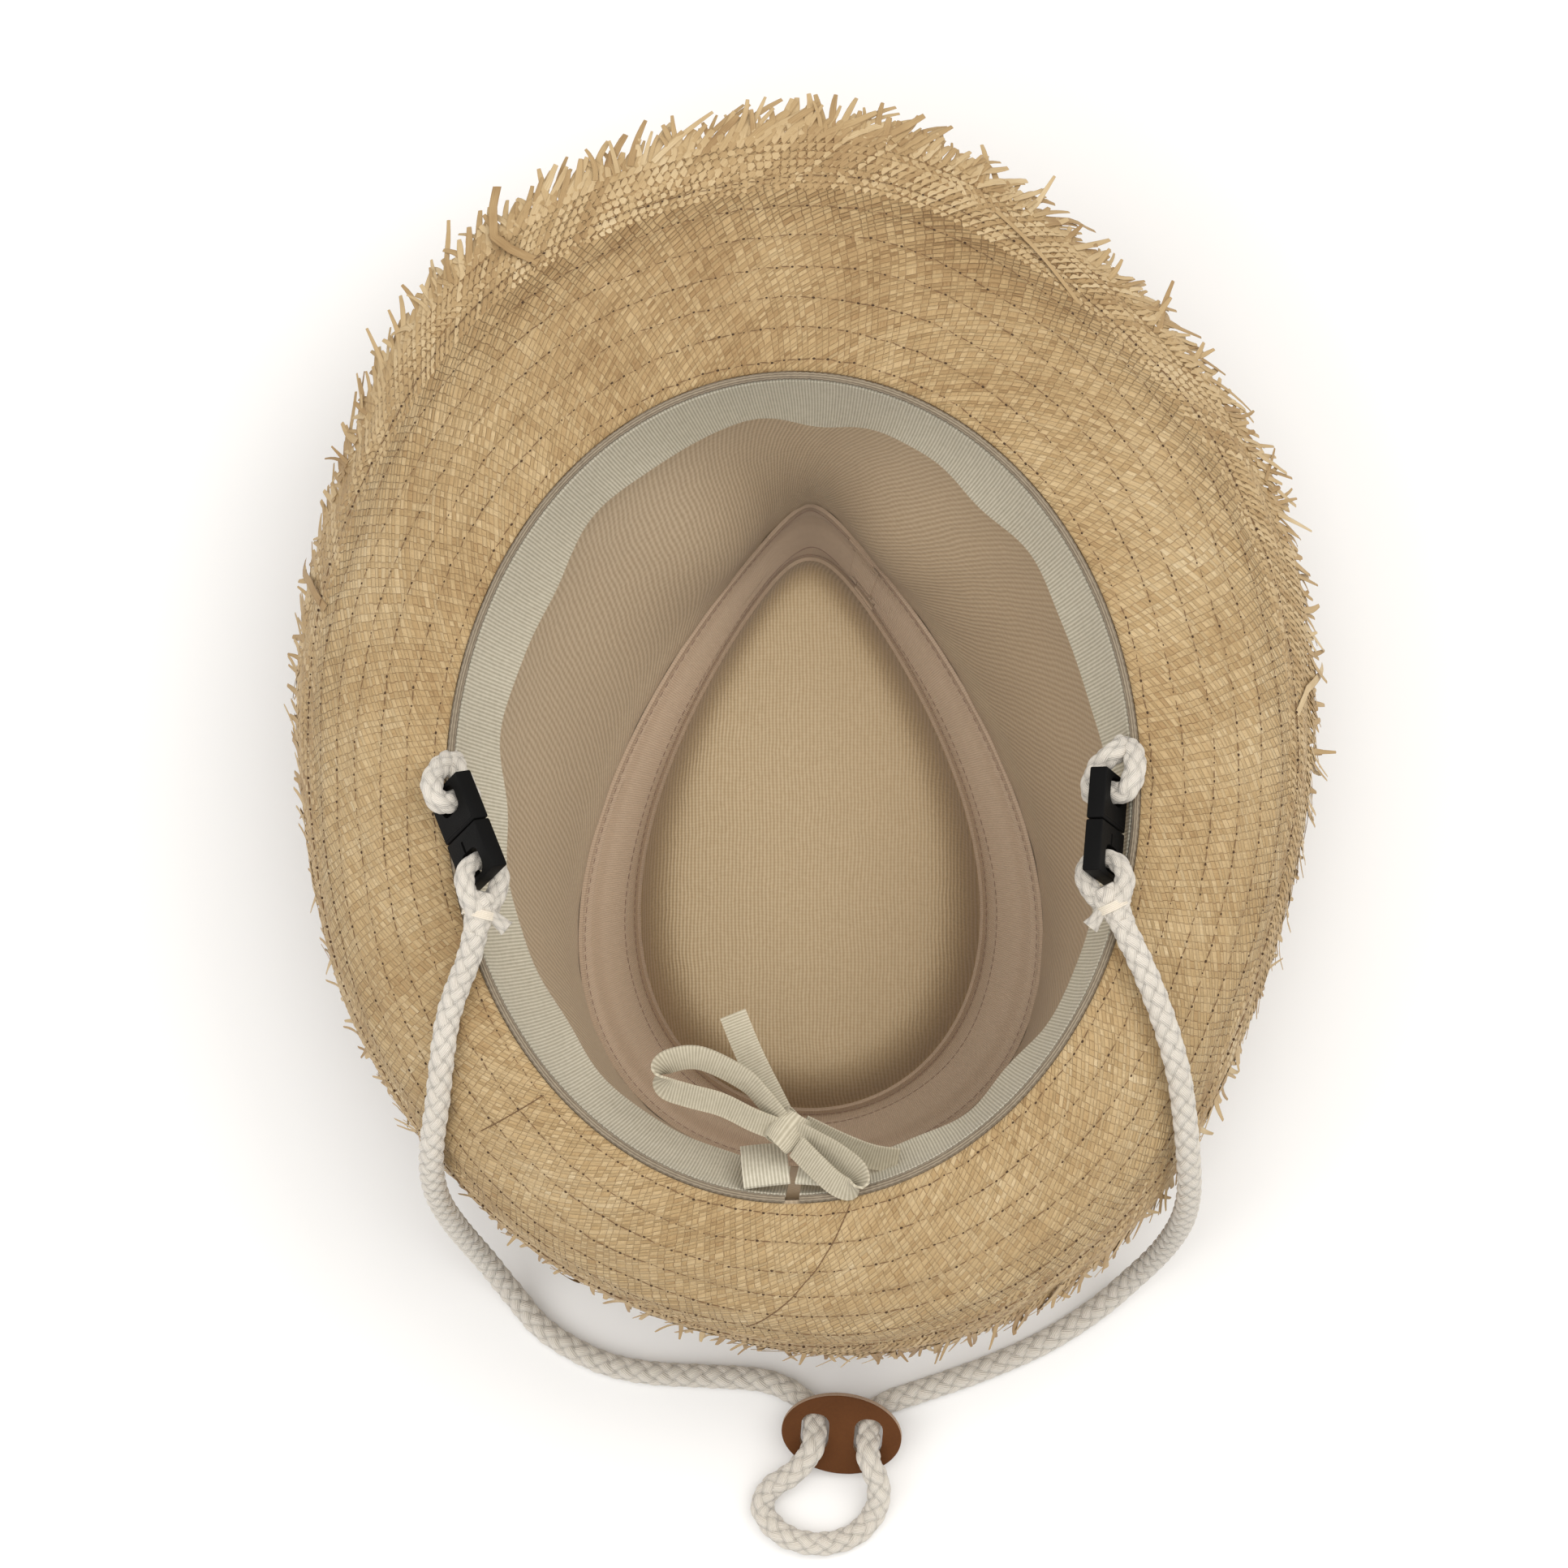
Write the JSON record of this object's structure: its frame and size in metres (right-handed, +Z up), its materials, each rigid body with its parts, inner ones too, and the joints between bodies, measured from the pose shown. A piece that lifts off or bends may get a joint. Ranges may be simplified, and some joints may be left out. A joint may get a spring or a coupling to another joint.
{
  "type": "straw fedora",
  "caption": "Woven straw hat with a teardrop crown, curled frayed brim, lining, sweatband, breakaway clips and a corded leather chin slider.",
  "frame": {"origin": "on the floor under the middle of the hat's box, the chin cord and what is on it left out", "axes": "+Y to the front of the hat, +Z up out of the head opening, the crown's ridge on the floor"},
  "size_m": [0.258, 0.3573, 0.1291],
  "materials": {
    "straw": "matt woven raffia straw, golden tan",
    "lining": "fine beige twill cloth",
    "seam_tape": "pinkish beige stitched tape",
    "grosgrain": "ribbed grey beige ribbon",
    "cotton_cord": "off-white braided cotton",
    "clip_plastic": "matt black moulded plastic",
    "slider_leather": "matt brown leather with a pale cut edge"
  },
  "bodies": {
    "root": {"crown_side": "straw", "crown_tip": "straw", "brim": "straw", "lining_side": "lining", "lining_tip": "lining", "seam_tape": "seam_tape", "sweatband": "grosgrain", "sweatband_cord": "grosgrain", "bow_knot": "grosgrain", "bow_loop_left": "grosgrain", "bow_loop_right": "grosgrain", "bow_tail_long": "grosgrain", "bow_tail_short": "grosgrain", "anchor_loop_left": "cotton_cord", "anchor_loop_right": "cotton_cord", "clip_upper_left": "clip_plastic", "clip_lower_left": "clip_plastic", "clip_upper_right": "clip_plastic", "clip_lower_right": "clip_plastic", "cord_eye_left": "cotton_cord", "cord_eye_right": "cotton_cord", "chin_cord": "cotton_cord", "slider": "slider_leather"}
  },
  "joints": []
}
